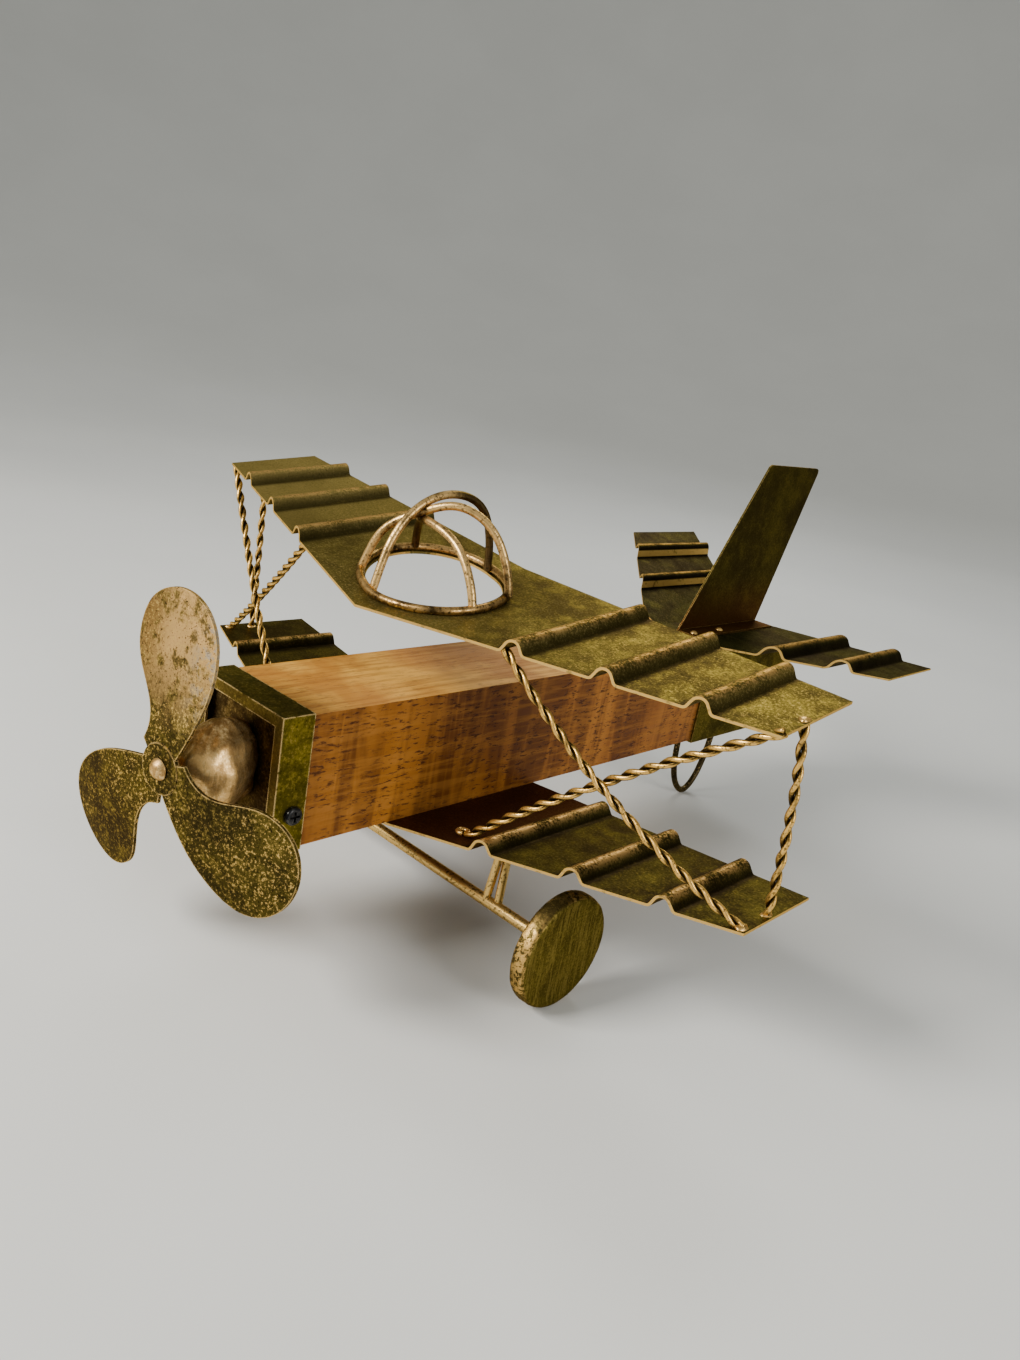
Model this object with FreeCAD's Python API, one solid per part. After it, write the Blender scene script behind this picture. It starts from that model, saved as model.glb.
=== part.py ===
import FreeCAD, Part
import math
import os

# Decorative biplane built round a block of square timber, with ribbed sheet-metal wings and tail,
# twisted-wire struts, a bent-wire cockpit cage, a free-turning propeller and two free-turning wheels.
# All lengths are in millimetres. While the pieces are drawn, +X is port, +Y runs from the nose to the
# tail, +Z is up, y = 0 is the front rim of the nose cowl and z = 0 is the underside of the block.
# At the end everything moves together to the row frame: the origin is on the ground, in the middle.

Vec = FreeCAD.Vector

# ---- driving dimensions ----------------------------------------------------------------------
block_side = 50.0
block_front_y = 4.5
block_rear_y = 342.8

cowl_sheet = 0.9
cowl_depth = 13.0
cowl_lip = 3.6
back_plate_thickness = 1.0
dome_radius = 17.8
dome_wall = 1.4
dome_centre = Vec(0, -7.0, 26.0)
cowl_screw_y = 7.6
cowl_screw_z = 13.8

hub_centre = Vec(0, -28.1, 27.2)
propeller_yaw_deg = 8.7
pin_radius = 2.0
running_gap = 0.08
hub_radius = 9.0
hub_thickness = 1.6
hub_side_gap = 0.35
blade_lengths = (60.3, 63.3, 63.2)
blade_sheet = 1.3
blade_angles_deg = (5.0, 119.8, 234.3)
blade_cone = 6.7
blade_twist_deg = -2.7
blade_cup = 0.8
collar_radius = 4.2
rivet_head_radius = 3.9
rivet_head_height = 2.4

sheet = 1.0
# a rib is given as (crown radius, foot radius, half pitch)
wing_rib = (2.9, 1.6, 5.2)
tail_rib = (3.5, 2.0, 6.2)

upper_front_y = 44.9
upper_front_z = 79.5
upper_sweep_deg = 14.9
upper_root_chord = 90.0
upper_port_taper = 0.29
upper_starboard_taper = 0.27
upper_pitch_deg = 6.7
upper_port_rise_deg = -0.95
upper_starboard_rise_deg = 6.65
upper_tip_x = 156.1
upper_ribs_x = (64.3, 97.7, 129.9)

lower_front_y = 45.8
lower_sweep_deg = 15.4
lower_root_chord = 92.0
lower_port_taper = 0.3
lower_starboard_taper = 0.26
lower_port_rise_deg = 5.95
lower_starboard_rise_deg = 8.0
lower_flat_x = 25.0
lower_tip_x = 159.7
lower_ribs_x = (65.1, 100.2, 132.4)

wire_radius = 1.65
ring_centre_x = -3.5
ring_centre_y = 86.5
ring_half_length = 35.0
ring_half_width = 29.5
ring_turn_deg = -37.0
hatch_inset = 2.2

strut_radius = 1.75

tail_box_front_y = 260.3
tail_box_rear_y = 344.0
tail_box_sheet = 1.2
tail_sweep_deg = 45.8
tail_front_y = 240.2
tail_root_chord = 101.3
tail_port_taper = 0.5
tail_starboard_taper = 0.375
tail_flat_x = 12.0
tail_tip_x = 90.3
tail_ribs_x = (44.8, 71.0)
tail_port_rise_deg = -2.5
tail_starboard_rise_deg = 21.8
fin_flange_width = 12.0
fin_rivets_y = (269.0, 293.5)

skid_radius = 1.7

axle_radius = 2.4
axle_y = 85.0
axle_z = -28.3
wheel_radius = 23.0
wheel_inner_x = 90.0
wheel_outer_x = 97.0
wheel_sheet = 1.2
wheel_edge_round = 1.2
bush_radius = 4.8
washer_radius = 5.8
leg_radius = 1.7
# a leg is given as (foot x, foot offset along y, top x, top y)
front_leg = (54.5, -0.5, 56.3, 88.5)
rear_leg = (60.2, 0.5, 54.3, 94.0)

X = Vec(1, 0, 0)
Y = Vec(0, 1, 0)
Z = Vec(0, 0, 1)


def tan(degrees):
    return math.tan(math.radians(degrees))


def box(x0, x1, y0, y1, z0, z1):
    return Part.makeBox(x1 - x0, y1 - y0, z1 - z0, Vec(x0, y0, z0))


def rod(start, end, radius):
    run = end - start
    return Part.makeCylinder(radius, run.Length, start, run)


def largest(shape):
    return max(shape.Solids, key=lambda solid: solid.Volume)


# ---- ribbed sheet ----------------------------------------------------------------------------
# A sheet is drawn as a section in the XZ plane by walking along its middle line: straight runs,
# sharp bends and rounded ribs. Each move leaves one edge on the upper face and one on the lower.
class SheetWalk:
    def __init__(self, x, z, heading_deg, thickness):
        self.at = Vec(x, 0, z)
        self.heading = math.radians(heading_deg)
        self.half = thickness / 2
        self.upper = [self.offset(1, 0)]
        self.lower = [self.offset(-1, 0)]

    def normal(self, extra=0.0):
        angle = self.heading + extra
        return Vec(-math.sin(angle), 0, math.cos(angle))

    def offset(self, side, extra):
        return self.at + self.normal(extra) * (side * self.half)

    def run(self, length):
        self.at = self.at + Vec(math.cos(self.heading), 0, math.sin(self.heading)) * length
        self.upper.append(self.offset(1, 0))
        self.lower.append(self.offset(-1, 0))

    def bend(self, turn_deg):
        turn = math.radians(turn_deg)
        stretch = 1 / math.cos(turn / 2)
        self.upper[-1] = self.at + self.normal(turn / 2) * (self.half * stretch)
        self.lower[-1] = self.at - self.normal(turn / 2) * (self.half * stretch)
        self.heading = self.heading + turn

    def arc(self, radius, turn):
        sign = 1 if turn > 0 else -1
        centre = self.at + self.normal() * (sign * radius)
        for line, side in ((self.upper, 1), (self.lower, -1)):
            middle = centre - self.normal(turn / 2) * (sign * radius - side * self.half)
            line.append(("arc", middle))
        self.at = centre - self.normal(turn) * (sign * radius)
        self.heading = self.heading + turn
        self.upper.append(self.offset(1, 0))
        self.lower.append(self.offset(-1, 0))

    def rib(self, size):
        crown, foot, half_pitch = size
        reach = crown + foot
        slope = math.asin(reach / half_pitch)
        flank = math.sqrt(half_pitch ** 2 - reach ** 2)
        self.arc(foot, slope)
        self.run(flank)
        self.arc(crown, -2 * slope)
        self.run(flank)
        self.arc(foot, slope)

    def edges(self, line):
        made = []
        last = line[0]
        middle = None
        for item in line[1:]:
            if isinstance(item, tuple):
                middle = item[1]
                continue
            if middle is None:
                made.append(Part.makeLine(last, item))
            else:
                made.append(Part.Arc(last, middle, item).toShape())
            last = item
            middle = None
        return made

    def face(self):
        first = Part.makeLine(self.lower[0], self.upper[0])
        last = Part.makeLine(self.upper[-1], self.lower[-1])
        ring = [first] + self.edges(self.upper) + [last] + self.edges(self.lower)
        return Part.Face(Part.Wire(Part.__sortEdges__(ring)))


def half_steps(ribs_x, from_x, to_x, rise_deg, rib_size):
    # runs and ribs met on the way out from from_x to to_x on a panel that rises by rise_deg
    steps = []
    here = from_x
    half_pitch = rib_size[2]
    for rib_x in ribs_x:
        steps.append(("run", (rib_x - here) / math.cos(math.radians(rise_deg)) - half_pitch))
        steps.append(("rib", rib_size))
        here = rib_x + half_pitch * math.cos(math.radians(rise_deg))
    steps.append(("run", (to_x - here) / math.cos(math.radians(rise_deg))))
    return steps


def ribbed_section(ribs_x, flat_x, tip_x, starboard_rise, port_rise, rib_size):
    outward_starboard = half_steps(ribs_x, flat_x, tip_x, starboard_rise, rib_size)
    outward_port = half_steps(ribs_x, flat_x, tip_x, port_rise, rib_size)
    start_z = (tip_x - flat_x) * tan(starboard_rise)
    walk = SheetWalk(-tip_x, start_z, -starboard_rise, sheet)
    for kind, value in reversed(outward_starboard):
        walk.run(value) if kind == "run" else walk.rib(value)
    if flat_x > 0:
        walk.bend(starboard_rise)
        walk.run(2 * flat_x)
        walk.bend(port_rise)
    else:
        walk.bend(starboard_rise + port_rise)
    for kind, value in outward_port:
        walk.run(value) if kind == "run" else walk.rib(value)
    return walk.face()


def swept_plan(front_y, sweep_deg, root_chord, port_taper, starboard_taper, tip_x, blunt_x=0.0):
    # plan outline: a leading edge swept back from the middle and a chord that tapers to each tip
    def front(x):
        return front_y + x * tan(sweep_deg)

    port_rear = front(tip_x) + root_chord - port_taper * tip_x
    starboard_rear = front(tip_x) + root_chord - starboard_taper * tip_x
    points = [Vec(tip_x, front(tip_x), 0), Vec(tip_x, port_rear, 0), Vec(0, front(0) + root_chord, 0)]
    points += [Vec(-tip_x, starboard_rear, 0), Vec(-tip_x, front(tip_x), 0)]
    if blunt_x > 0:
        points += [Vec(-blunt_x, front(blunt_x), 0), Vec(blunt_x, front(blunt_x), 0)]
    else:
        points += [Vec(0, front(0), 0)]
    outline = Part.Face(Part.makePolygon(points + [points[0]]))
    outline.translate(Vec(0, 0, -60))
    return outline.extrude(Vec(0, 0, 260))


def ribbed_sheet(section, base_y, base_z, pitch_deg, plan):
    # the section is drawn out along the chord, climbing by the pitch, then trimmed to its plan
    before = 30.0
    length = 280.0
    start = section.copy()
    start.translate(Vec(0, base_y - before, base_z - before * tan(pitch_deg)))
    drawn = start.extrude(Vec(0, length, length * tan(pitch_deg)))
    return largest(drawn.common(plan))


def upper_surface_z(x, y):
    rise = upper_port_rise_deg if x > 0 else upper_starboard_rise_deg
    middle = upper_front_z + (y - upper_front_y) * tan(upper_pitch_deg) + abs(x) * tan(rise)
    return middle + sheet / 2


def lower_surface_z(x):
    rise = lower_port_rise_deg if x > 0 else lower_starboard_rise_deg
    return max(0.0, abs(x) - lower_flat_x) * tan(rise)


# ---- wings -----------------------------------------------------------------------------------
def oval_point(angle, shrink):
    along = (ring_half_length - shrink) * math.cos(angle)
    across = (ring_half_width - shrink) * math.sin(angle)
    turn = math.radians(ring_turn_deg)
    x = ring_centre_x + along * math.cos(turn) - across * math.sin(turn)
    y = ring_centre_y + along * math.sin(turn) + across * math.cos(turn)
    return Vec(x, y, 0)


def make_upper_wing():
    section = ribbed_section(upper_ribs_x, 0.0, upper_tip_x, upper_starboard_rise_deg,
                             upper_port_rise_deg, wing_rib)
    plan = swept_plan(upper_front_y, upper_sweep_deg, upper_root_chord, upper_port_taper,
                      upper_starboard_taper, upper_tip_x)
    hatch_curve = Part.BSplineCurve()
    hatch_points = [oval_point(2 * math.pi * i / 16, hatch_inset) for i in range(16)]
    hatch_curve.interpolate(hatch_points, PeriodicFlag=True)
    hatch = Part.Face(Part.Wire(hatch_curve.toShape())).extrude(Vec(0, 0, 200))
    wing = ribbed_sheet(section, upper_front_y, upper_front_z, upper_pitch_deg, plan)
    return largest(wing.cut(hatch))


def make_lower_wing():
    section = ribbed_section(lower_ribs_x, lower_flat_x, lower_tip_x, lower_starboard_rise_deg,
                             lower_port_rise_deg, wing_rib)
    plan = swept_plan(lower_front_y, lower_sweep_deg, lower_root_chord, lower_port_taper,
                      lower_starboard_taper, lower_tip_x)
    wing = ribbed_sheet(section, lower_front_y, -sheet / 2, 0.0, plan)
    for y in lower_wing_screws_y:
        wing = wing.cut(rod(Vec(0, y, -5), Vec(0, y, 5), screw_hole_radius))
    return wing


# ---- screws ----------------------------------------------------------------------------------
screw_head_radius = 3.4
screw_head_height = 2.2
screw_shank_radius = 1.7
screw_hole_radius = 1.7
screw_length = 14.0
lower_wing_screws_y = (70.0, 115.0)
tail_box_screws_x = (-14.0, 14.0)
tail_box_screws_y = 267.5


def pan_screw(seat, outward):
    # head seated on a face at seat, shank running inward, with a cross recess in the head
    head = Part.makeCylinder(screw_head_radius, screw_head_height)
    head = head.makeFillet(1.1, [head.Edges[0]])
    slot_a = box(-2.0, 2.0, -0.45, 0.45, screw_head_height - 1.1, screw_head_height + 1)
    slot_b = box(-0.45, 0.45, -2.0, 2.0, screw_head_height - 1.1, screw_head_height + 1)
    shank = Part.makeCylinder(screw_shank_radius, screw_length, Vec(0, 0, -screw_length))
    screw = head.fuse(shank).removeSplitter().cut(slot_a).cut(slot_b)
    screw.Placement = FreeCAD.Placement(seat, FreeCAD.Rotation(Z, outward))
    return screw


def make_cowl_screws():
    reach = block_side / 2 + cowl_sheet
    port = pan_screw(Vec(reach, cowl_screw_y, cowl_screw_z), X)
    starboard = pan_screw(Vec(-reach, cowl_screw_y, cowl_screw_z), -X)
    return Part.makeCompound([port, starboard])


def make_lower_wing_screws():
    return Part.makeCompound([pan_screw(Vec(0, y, -sheet), -Z) for y in lower_wing_screws_y])


def make_tail_box_screws():
    seats = [Vec(x, tail_box_screws_y, -tail_box_sheet) for x in tail_box_screws_x]
    return Part.makeCompound([pan_screw(seat, -Z) for seat in seats])


# ---- fuselage block and nose -----------------------------------------------------------------
def make_fuselage_block():
    half = block_side / 2
    block = box(-half, half, block_front_y, block_rear_y, 0, block_side)
    screws = make_cowl_screws().Solids + make_lower_wing_screws().Solids
    for fastener in screws + make_tail_box_screws().Solids + make_fin_rivets().Solids:
        block = block.cut(fastener)
    return block


def make_nose_cowl_frame():
    half = block_side / 2
    outer = half + cowl_sheet
    middle_z = block_side / 2
    frame = box(-outer, outer, 0, cowl_depth, middle_z - outer, middle_z + outer)
    frame = frame.cut(box(-half, half, cowl_sheet, cowl_depth + 1, 0, block_side))
    opening = half - cowl_lip
    frame = frame.cut(box(-opening, opening, -1, 5, middle_z - opening, middle_z + opening))
    for side in (-1, 1):
        start = Vec(side * (half - 1), cowl_screw_y, cowl_screw_z)
        frame = frame.cut(rod(start, start + X * (side * 5), screw_hole_radius))
    return frame


def make_nose_back_plate():
    half = block_side / 2
    return box(-half, half, block_front_y - back_plate_thickness, block_front_y, 0, block_side)


def propeller_axis():
    yaw = math.radians(propeller_yaw_deg)
    return Vec(math.sin(yaw), -math.cos(yaw), 0)


def make_nose_dome():
    outer = Part.makeSphere(dome_radius, dome_centre)
    inner = Part.makeSphere(dome_radius - dome_wall, dome_centre)
    plate_y = block_front_y - back_plate_thickness
    keep = box(-40, 40, -60, plate_y, -40, 90)
    dome = outer.cut(inner).common(keep)
    axis = propeller_axis()
    return largest(dome.cut(rod(hub_centre - axis * 12, hub_centre + axis * 6, pin_radius)))


def collar_front():
    return hub_thickness / 2 + hub_side_gap


def make_propeller_pin():
    # pin with a domed rivet head in front of the hub
    axis = propeller_axis()
    head_seat = hub_thickness / 2 + hub_side_gap
    pin = rod(hub_centre - axis * 8.5, hub_centre + axis * (head_seat + 0.5), pin_radius)
    ball_radius = (rivet_head_radius ** 2 + rivet_head_height ** 2) / (2 * rivet_head_height)
    ball = Part.makeSphere(ball_radius, hub_centre + axis * (head_seat + rivet_head_height - ball_radius))
    slab = rod(hub_centre + axis * head_seat, hub_centre + axis * (head_seat + 9), 8)
    return pin.fuse(ball.common(slab)).removeSplitter()


def make_propeller_collar():
    axis = propeller_axis()
    collar = rod(hub_centre - axis * 6, hub_centre - axis * collar_front(), collar_radius)
    collar = collar.cut(rod(hub_centre - axis * 9, hub_centre, pin_radius))
    return largest(collar.cut(Part.makeSphere(dome_radius, dome_centre)))


def blade_outline(length):
    # paddle outline: half widths and sideways drift at stations along the blade
    stations = ((0.12, 8.8, -1.5), (0.35, 12.0, 1.0), (0.62, 19.9, -4.0), (0.85, 17.9, -5.6),
                (0.96, 10.6, -5.6))
    left = [Vec(drift - half, 0, part * length) for part, half, drift in stations]
    right = [Vec(drift + half, 0, part * length) for part, half, drift in stations]
    tip = Vec(-7.2, 0, length)
    curve = Part.BSplineCurve()
    curve.interpolate(left + [tip] + list(reversed(right)))
    root_left = Vec(-4.5, 0, 2.0)
    root_right = Vec(4.5, 0, 2.0)
    edges = [Part.makeLine(root_left, left[0]), curve.toShape(), Part.makeLine(right[0], root_right),
             Part.makeLine(root_right, root_left)]
    return Part.Face(Part.Wire(edges))


def blade_section(length, part):
    # curved strip across the blade: it cones back, twists and cups more towards the tip
    reach = 30.0
    radius = part * length
    back = blade_cone * part * part
    cup = blade_cup * min(1.0, part / 0.6) ** 2 * (reach / 20.0) ** 2
    lean = math.radians(blade_twist_deg * part)
    points = []
    for across in (-1, 0, 1):
        y = back + cup * across * across + reach * across * math.sin(lean)
        points.append(Vec(across * reach * math.cos(lean), y - blade_sheet / 2, radius))
    behind = [point + Y * blade_sheet for point in points]
    front_arc = curved_line(points)
    rear_arc = curved_line(behind)
    ends = [Part.makeLine(points[2], behind[2]), Part.makeLine(behind[0], points[0])]
    return Part.Wire([front_arc, ends[0], rear_arc, ends[1]])


def curved_line(points):
    curve = Part.BSplineCurve()
    curve.interpolate(points)
    return curve.toShape()


def make_blade(length):
    sections = [blade_section(length, part) for part in (0.0, 0.2, 0.4, 0.6, 0.8, 1.05)]
    strip = Part.makeLoft(sections, True, False)
    outline = blade_outline(length)
    outline.translate(Y * -30)
    return largest(strip.common(outline.extrude(Y * 60)))


def make_propeller():
    hub = rod(Y * (-hub_thickness / 2), Y * (hub_thickness / 2), hub_radius)
    rotor = hub
    for angle, length in zip(blade_angles_deg, blade_lengths):
        blade = make_blade(length)
        blade.rotate(Vec(0, 0, 0), Y, angle)
        rotor = rotor.fuse(blade)
    rotor = rotor.cut(rod(Y * -20, Y * 20, pin_radius + running_gap))
    rotor = largest(rotor.removeSplitter())
    rotor.rotate(Vec(0, 0, 0), Z, propeller_yaw_deg)
    rotor.translate(hub_centre)
    return rotor


# ---- twisted-wire struts, drawn as plain rods of the same overall thickness --------------------
def strut(upper_end, lower_end, bow, sheets):
    # a rod bent evenly by the bow at its middle, run on into the sheets and trimmed by them
    middle = (upper_end + lower_end) * 0.5 + bow
    path = Part.Arc(lower_end, middle, upper_end)
    start = path.tangent(path.FirstParameter)[0]
    finish = path.tangent(path.LastParameter)[0]
    section = Part.Wire(Part.makeCircle(strut_radius, lower_end, start))
    bar = Part.Wire(path.toShape()).makePipeShell([section], True, False)
    bar = bar.fuse(rod(lower_end - start * 4, lower_end, strut_radius))
    bar = bar.fuse(rod(upper_end, upper_end + finish * 4, strut_radius))
    for piece in sheets:
        bar = bar.cut(piece)
    return largest(bar)


def strut_ends(upper_xy, lower_xy):
    upper = Vec(upper_xy[0], upper_xy[1], 0)
    upper.z = upper_surface_z(upper.x, upper.y) - sheet
    lower = Vec(lower_xy[0], lower_xy[1], lower_surface_z(lower_xy[0]))
    return upper, lower


# name: (place under the upper wing, place on the lower wing, bow at the middle)
strut_plan = {
    "port_front_diagonal": ((61.0, 63.4), (155.6, 92.0), Vec(-1.6, -2.8, -3.5)),
    "port_cross_diagonal": ((153.0, 87.6), (53.6, 69.5), Vec(-1.8, -0.5, 2.4)),
    "port_tip_strut": ((154.2, 103.6), (157.4, 108.5), Vec(0.8, 0.8, 0.0)),
    "starboard_front_diagonal": ((-60.6, 65.6), (-156.2, 93.8), Vec(0.3, 0.4, -0.6)),
    "starboard_cross_diagonal": ((-152.8, 87.4), (-76.5, 69.8), Vec(0.3, -1.7, 0.3)),
    "starboard_tip_strut": ((-153.5, 104.4), (-155.9, 106.2), Vec(-0.8, 0.8, 0.0)),
}


# ---- cockpit cage ----------------------------------------------------------------------------
def wire_path(points, closed=False):
    curve = Part.BSplineCurve()
    curve.interpolate(points, PeriodicFlag=closed)
    return curve


def swept_wire(curve, first, last, radius):
    circle = Part.Wire(Part.makeCircle(radius, curve.value(first), curve.tangent(first)[0]))
    spine = Part.Wire(curve.toShape(first, last))
    return spine.makePipeShell([circle], True, False)


def bent_wire(points, radius):
    curve = wire_path(points)
    return swept_wire(curve, curve.FirstParameter, curve.LastParameter, radius)


def closed_wire(points, radius):
    # a ring is swept as two halves that meet end to end
    curve = wire_path(points, True)
    first = curve.FirstParameter
    last = curve.LastParameter
    middle = (first + last) / 2
    return swept_wire(curve, first, middle, radius).fuse(swept_wire(curve, middle, last, radius))


def ring_point(angle):
    point = oval_point(angle, 0.0)
    point.z = upper_surface_z(point.x, point.y) + wire_radius - 0.25
    return point


def make_cage_base_ring(wing):
    points = [ring_point(2 * math.pi * i / 20) for i in range(20)]
    return largest(closed_wire(points, wire_radius).cut(wing))


def arch_points(foot_a, foot_b, stations):
    # stations give how far along the line between the feet, and how high above the cowl frame top
    points = []
    for part, z in stations:
        point = foot_a + (foot_b - foot_a) * part
        point.z = z
        points.append(point)
    return points


def hoop_long_points():
    stations = ((0.0, 82.8), (0.03, 89.5), (0.12, 104.0), (0.33, 116.6), (0.6, 120.7), (0.86, 115.6),
                (0.97, 103.8), (1.0, 89.8))
    return arch_points(Vec(-7.2, 58.4, 0), Vec(-2.8, 114.6, 0), stations)


def hoop_diagonal_points():
    stations = ((0.0, 86.2), (0.03, 92.0), (0.12, 103.4), (0.36, 113.4), (0.58, 118.0), (0.8, 113.2),
                (0.94, 101.0), (1.0, 87.9))
    return arch_points(Vec(-24.6, 65.6, 0), Vec(26.4, 98.2, 0), stations)


def hoop_cross_points():
    return [Vec(28.8, 77.0, 84.2), Vec(24.6, 77.2, 94.8), Vec(13.5, 77.2, 106.4), Vec(-5.6, 78.4, 110.6),
            Vec(-21.5, 90.5, 106.5), Vec(-31.5, 99.0, 99.0), Vec(-34.2, 101.4, 92.2)]


def cage_hoop(points, others):
    hoop = bent_wire(points, wire_radius)
    for other in others:
        hoop = hoop.cut(other)
    return largest(hoop)


# ---- tail ------------------------------------------------------------------------------------
def make_tail_box():
    half = block_side / 2
    wall = tail_box_sheet
    shell = box(-half - wall, half + wall, tail_box_front_y, tail_box_rear_y, -wall, block_side + wall)
    shell = shell.cut(box(-half, half, tail_box_front_y - 1, tail_box_rear_y - wall, 0, block_side))
    for x in tail_box_screws_x:
        hole = rod(Vec(x, tail_box_screws_y, -5), Vec(x, tail_box_screws_y, 5), screw_hole_radius)
        shell = shell.cut(hole)
    for y in fin_rivets_y:
        shell = shell.cut(rod(Vec(fin_rivet_x, y, 40), Vec(fin_rivet_x, y, 60), fin_rivet_radius))
    return shell


fin_rivet_x = 7.5
fin_rivet_radius = 1.2
fin_base_z = block_side + tail_box_sheet + sheet


def make_tailplane():
    section = ribbed_section(tail_ribs_x, tail_flat_x, tail_tip_x, tail_starboard_rise_deg,
                             tail_port_rise_deg, tail_rib)
    blunt = (tail_box_front_y + 2.0 - tail_front_y) / tan(tail_sweep_deg)
    plan = swept_plan(tail_front_y, tail_sweep_deg, tail_root_chord, tail_port_taper,
                      tail_starboard_taper, tail_tip_x, blunt)
    middle_z = block_side + tail_box_sheet + sheet / 2
    plane = ribbed_sheet(section, tail_front_y, middle_z, 0.0, plan)
    plane = plane.cut(make_tail_box())
    for y in fin_rivets_y:
        plane = plane.cut(rod(Vec(fin_rivet_x, y, 40), Vec(fin_rivet_x, y, 60), fin_rivet_radius))
    return largest(plane)


def make_tail_fin():
    # upright swept plate with its foot folded over to port
    top = 142.8
    outline = [Vec(0, 264.0, fin_base_z), Vec(0, 317.3, top - 3.0), Vec(0, 318.6, top - 1.0),
               Vec(0, 320.8, top), Vec(0, 371.6, top), Vec(0, 373.6, top - 0.8),
               Vec(0, 374.0, top - 2.6), Vec(0, 343.0, fin_base_z)]
    plate = Part.Face(Part.makePolygon(outline + [outline[0]]))
    plate.translate(X * (-sheet / 2))
    plate = plate.extrude(X * sheet)
    foot = box(-sheet / 2, fin_flange_width, 264.0, 343.0, fin_base_z, fin_base_z + sheet)
    fin = plate.fuse(foot).removeSplitter()
    for y in fin_rivets_y:
        fin = fin.cut(rod(Vec(fin_rivet_x, y, 40), Vec(fin_rivet_x, y, 60), fin_rivet_radius))
    return fin


def make_fin_rivets():
    rivets = []
    for y in fin_rivets_y:
        seat = Vec(fin_rivet_x, y, fin_base_z + sheet)
        shank = rod(seat - Z * 3.2, seat, fin_rivet_radius)
        ball = Part.makeSphere(2.3, seat - Z * 1.0)
        head = ball.common(rod(seat, seat + Z * 5, 5))
        tail = rod(seat - Z * 4.0, seat - Z * 3.2, fin_rivet_radius + 0.8)
        rivets.append(shank.fuse(head).fuse(tail).removeSplitter())
    return Part.makeCompound(rivets)


def make_tail_skid(ground_z):
    # one wire loop: an upright front leg, a round foot on the ground and a sloping rear leg
    foot_z = ground_z + skid_radius
    points = [Vec(0, 291.0, 2), Vec(0, 291.6, -20), Vec(0, 294.8, foot_z + 14),
              Vec(0, 301.0, foot_z + 4.2), Vec(0, 309.0, foot_z), Vec(0, 317.0, foot_z + 4.6),
              Vec(0, 322.4, foot_z + 14), Vec(0, 326.4, -20), Vec(0, 328.8, 2)]
    wire = bent_wire(points, skid_radius)
    return largest(wire.cut(box(-30, 30, 250, 350, -tail_box_sheet, 20)))


# ---- landing gear ----------------------------------------------------------------------------
def make_axle():
    reach = wheel_outer_x - wheel_sheet - 0.4
    return rod(Vec(-reach, axle_y, axle_z), Vec(reach, axle_y, axle_z), axle_radius)


def make_leg(side, plan, axle, wing):
    foot_x, foot_dy, top_x, top_y = plan
    foot = Vec(side * foot_x, axle_y + foot_dy, axle_z)
    top = Vec(side * top_x, top_y, lower_surface_z(side * top_x) + 2)
    leg = rod(foot, top, leg_radius).cut(wing).cut(axle)
    return largest(leg)


def wheel_bore(side):
    return rod(Vec(side * 60, axle_y, axle_z), Vec(side * 94, axle_y, axle_z), axle_radius + running_gap)


def make_wheel_shell(side):
    # face and rim pressed from one disc, open on the inner side
    centre = Vec(0, axle_y, axle_z)
    shell = rod(centre + X * wheel_inner_x, centre + X * wheel_outer_x, wheel_radius)
    shell = shell.makeFillet(wheel_edge_round, [shell.Edges[0]])
    hollow_end = wheel_outer_x - wheel_sheet
    shell = shell.cut(rod(centre + X * 80, centre + X * hollow_end, wheel_radius - wheel_sheet))
    return shell if side > 0 else shell.mirror(Vec(0, 0, 0), X)


def make_wheel_back_disc(side):
    centre = Vec(0, axle_y, axle_z)
    start = wheel_inner_x + 0.6
    disc = rod(centre + X * start, centre + X * (start + wheel_sheet), wheel_radius - wheel_sheet)
    disc = disc.cut(wheel_bore(1))
    return disc if side > 0 else disc.mirror(Vec(0, 0, 0), X)


def make_wheel_bush(side):
    centre = Vec(0, axle_y, axle_z)
    start = wheel_inner_x + 0.6 + wheel_sheet
    bush = rod(centre + X * start, centre + X * (start + 1.6), bush_radius).cut(wheel_bore(1))
    return bush if side > 0 else bush.mirror(Vec(0, 0, 0), X)


def make_axle_washer(side):
    centre = Vec(0, axle_y, axle_z)
    start = wheel_inner_x + 0.6 + wheel_sheet + 1.6 + 0.4
    washer = rod(centre + X * start, centre + X * (start + 0.8), washer_radius)
    washer = washer.cut(rod(centre, centre + X * 120, axle_radius))
    return washer if side > 0 else washer.mirror(Vec(0, 0, 0), X)


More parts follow.
